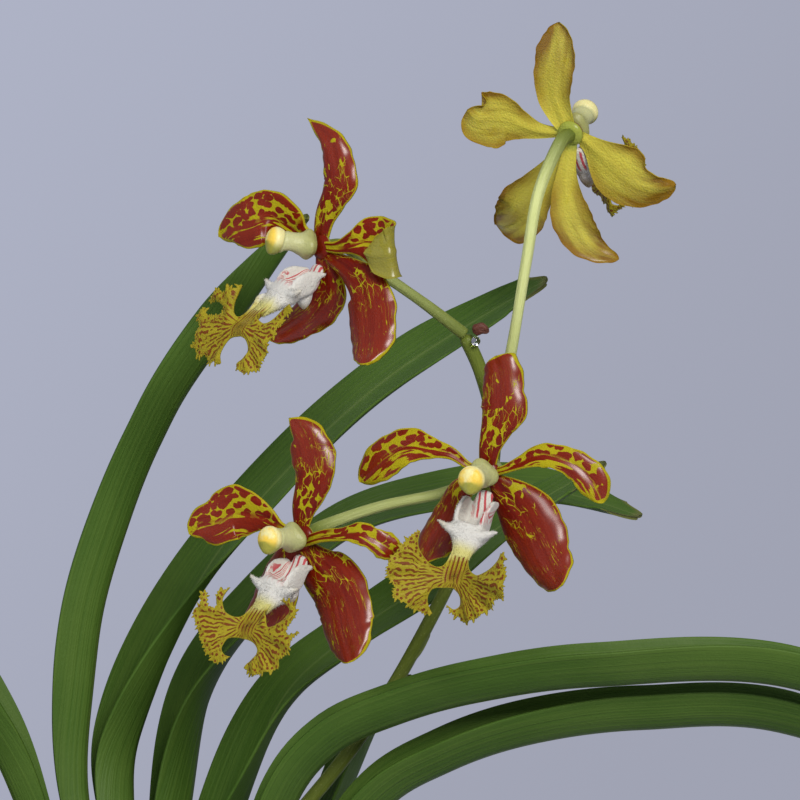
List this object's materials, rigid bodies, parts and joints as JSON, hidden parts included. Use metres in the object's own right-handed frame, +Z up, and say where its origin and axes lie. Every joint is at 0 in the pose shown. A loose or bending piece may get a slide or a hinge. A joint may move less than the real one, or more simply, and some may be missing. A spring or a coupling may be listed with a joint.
{
  "type": "potted vanda roeblingiana",
  "caption": "Potted Vanda roeblingiana orchid in flower: a clay pot of bark, a fan of folded strap leaves and one spike of red-brown and yellow flowers with fringed, forked lips.",
  "frame": {"origin": "centre of the pot's flat underside, on the ground", "axes": "+Z up through the pot, +X to the right in the picture, along the fan of leaves, +Y away from the picture's viewer"},
  "size_m": [0.359, 0.128, 0.3417],
  "materials": {
    "clay": "matte",
    "bark": "matte",
    "cane": "satin",
    "root": "matte",
    "leaf": "satin",
    "stalk": "satin",
    "bract": "satin",
    "drop": "gloss",
    "tepal": "satin",
    "column": "satin",
    "lip": "satin"
  },
  "bodies": {
    "root": {"pot": "clay", "bark": "bark", "cane": "cane", "root_1": "root", "root_2": "root", "root_3": "root", "root_4": "root", "root_5": "root", "root_6": "root", "root_7": "root", "leaf_1": "leaf", "leaf_2": "leaf", "leaf_3": "leaf", "leaf_4": "leaf", "leaf_5": "leaf", "leaf_6": "leaf", "leaf_7": "leaf", "leaf_8": "leaf", "leaf_9": "leaf", "leaf_10": "leaf", "leaf_11": "leaf", "leaf_12": "leaf", "spike": "stalk", "spike_tip": "bract", "nectar_drop": "drop", "flower_1_tepals": "tepal", "flower_1_column": "column", "flower_1_lip": "lip", "flower_2_tepals": "tepal", "flower_2_column": "column", "flower_2_lip": "lip", "flower_3_tepals": "tepal", "flower_3_column": "column", "flower_3_lip": "lip", "flower_4_tepals": "tepal", "flower_4_column": "column", "flower_4_lip": "lip"}
  },
  "joints": []
}
